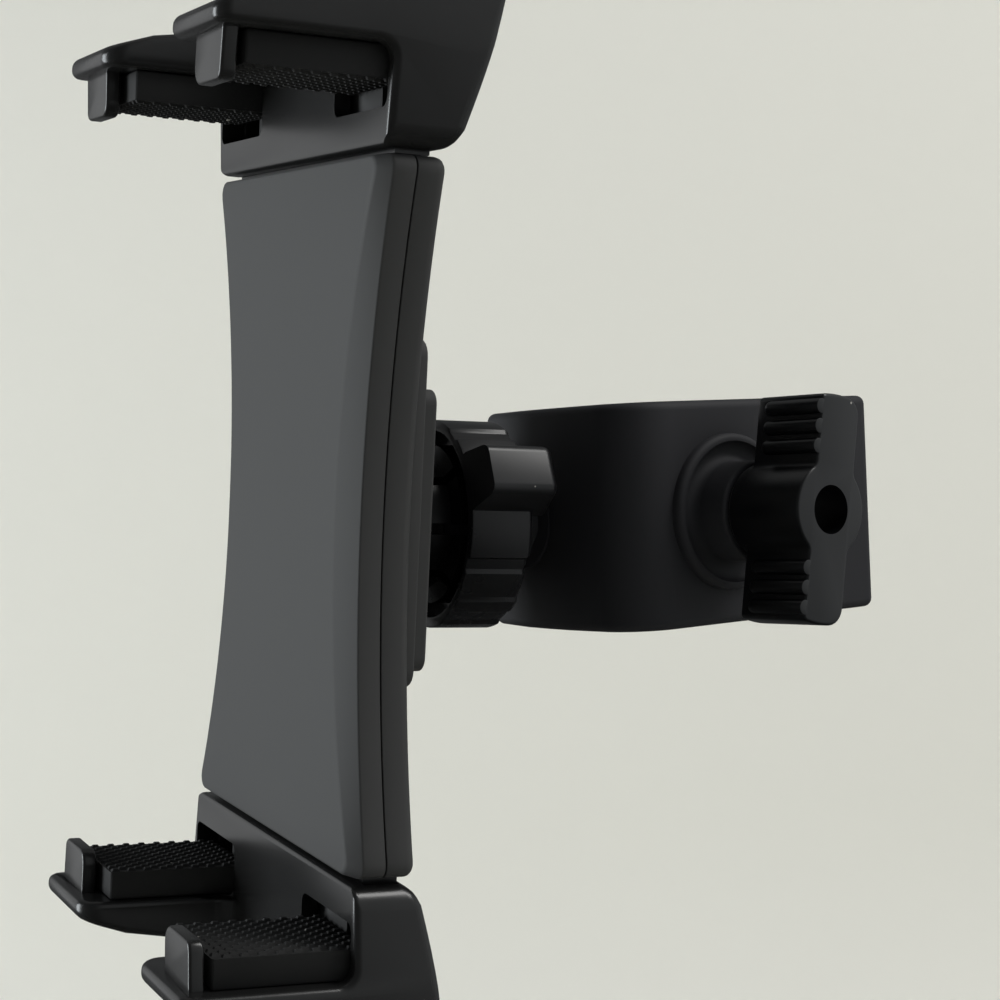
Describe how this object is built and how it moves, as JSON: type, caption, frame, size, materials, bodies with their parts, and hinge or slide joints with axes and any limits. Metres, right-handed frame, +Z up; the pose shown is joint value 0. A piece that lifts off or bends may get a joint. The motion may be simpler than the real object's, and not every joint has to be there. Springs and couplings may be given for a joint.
{
  "type": "tablet holder",
  "caption": "Spring-loaded tablet cradle with gripping fingers on a ball joint, held by a screw clamp that grips an upright pole.",
  "frame": {"origin": "on the axis of the gripped pole, half way up the clamp's pads", "axes": "+Z up the pole, -Y from the pole towards the tablet, +X towards the clamp's knob"},
  "size_m": [0.0957, 0.1214, 0.1452],
  "materials": {
    "clamp_plastic": "satin soft-touch black",
    "gloss_plastic": "semi-gloss black",
    "shell_plastic": "fine spark texture, dark grey",
    "arm_plastic": "semi-gloss black",
    "slide_plastic": "smooth acetal black",
    "jaw_rubber": "matte",
    "grip_rubber": "woven texture",
    "screw_steel": "zinc plated",
    "small_screws": "black oxide",
    "spring_steel": "bare wire"
  },
  "bodies": {
    "clamp": {"clamp_body": "clamp_plastic", "near_jaw_pad": "jaw_rubber", "ball_stud": "clamp_plastic", "ball_stud_screw": "screw_steel", "thrust_washer": "screw_steel"},
    "screw": {"clamp_screw": "screw_steel", "t_knob": "gloss_plastic", "retaining_clip": "screw_steel"},
    "jaw": {"sliding_jaw": "clamp_plastic", "far_jaw_pad": "jaw_rubber", "captive_nut": "screw_steel"},
    "pan": {"pressure_pad": "jaw_rubber"},
    "tilt": {"friction_collet": "slide_plastic"},
    "cradle": {"front_shell": "shell_plastic", "rear_shell": "shell_plastic", "shell_screws": "small_screws", "mount_plate": "shell_plastic", "plate_screws": "small_screws", "socket": "gloss_plastic", "upper_springs": "spring_steel", "lower_spring": "spring_steel"},
    "ring": {"lock_ring": "gloss_plastic"},
    "upper_arm": {"upper_arm": "arm_plastic", "upper_slide": "slide_plastic", "upper_near_pad": "grip_rubber", "upper_far_pad": "grip_rubber", "upper_arm_screws": "small_screws"},
    "lower_arm": {"lower_arm": "arm_plastic", "lower_slide": "slide_plastic", "lower_near_pad": "grip_rubber", "lower_far_pad": "grip_rubber", "lower_arm_screws": "small_screws"}
  },
  "joints": [
    {"name": "knob_turn", "type": "hinge", "parent": "clamp", "child": "screw", "pos_m": [0.03, -0.025, 0], "axis": [1, 0, 0], "range_deg": [-4330, 1090]},
    {"name": "jaw_slide", "type": "slide", "parent": "clamp", "child": "jaw", "axis": [-1, 0, 0], "range_m": [-0.012, 0.003]},
    {"name": "ball_pan", "type": "hinge", "parent": "clamp", "child": "pan", "pos_m": [0.0047, -0.0537, 0], "axis": [0, 0, 1], "range_deg": [-6, 18]},
    {"name": "ball_tilt", "type": "hinge", "parent": "pan", "child": "tilt", "pos_m": [0.0047, -0.0537, 0], "axis": [0.9677, -0.2521, 0], "range_deg": [-7.8, 14.2]},
    {"name": "ball_roll", "type": "hinge", "parent": "tilt", "child": "cradle", "pos_m": [0.0047, -0.0537, 0], "axis": [0.2514, 0.9651, -0.0732], "continuous": true},
    {"name": "lock_ring_turn", "type": "hinge", "parent": "cradle", "child": "ring", "pos_m": [0.0047, -0.0537, 0], "axis": [0.2514, 0.9651, -0.0732], "range_deg": [-60, 0]},
    {"name": "upper_arm_slide", "type": "slide", "parent": "cradle", "child": "upper_arm", "axis": [0.0926, 0.0513, 0.9944], "range_m": [0, 0.042], "stiffness_N_per_m": 90, "springref_m": -0.03, "deforming": ["upper_springs"]},
    {"name": "lower_arm_slide", "type": "slide", "parent": "cradle", "child": "lower_arm", "axis": [-0.0926, -0.0513, -0.9944], "range_m": [0, 0.042], "stiffness_N_per_m": 90, "springref_m": -0.03, "deforming": ["lower_spring"]}
  ],
  "couplings": [
    {"joint": "knob_turn", "follows": "jaw_slide", "rad_per_m": 6283.2}
  ]
}
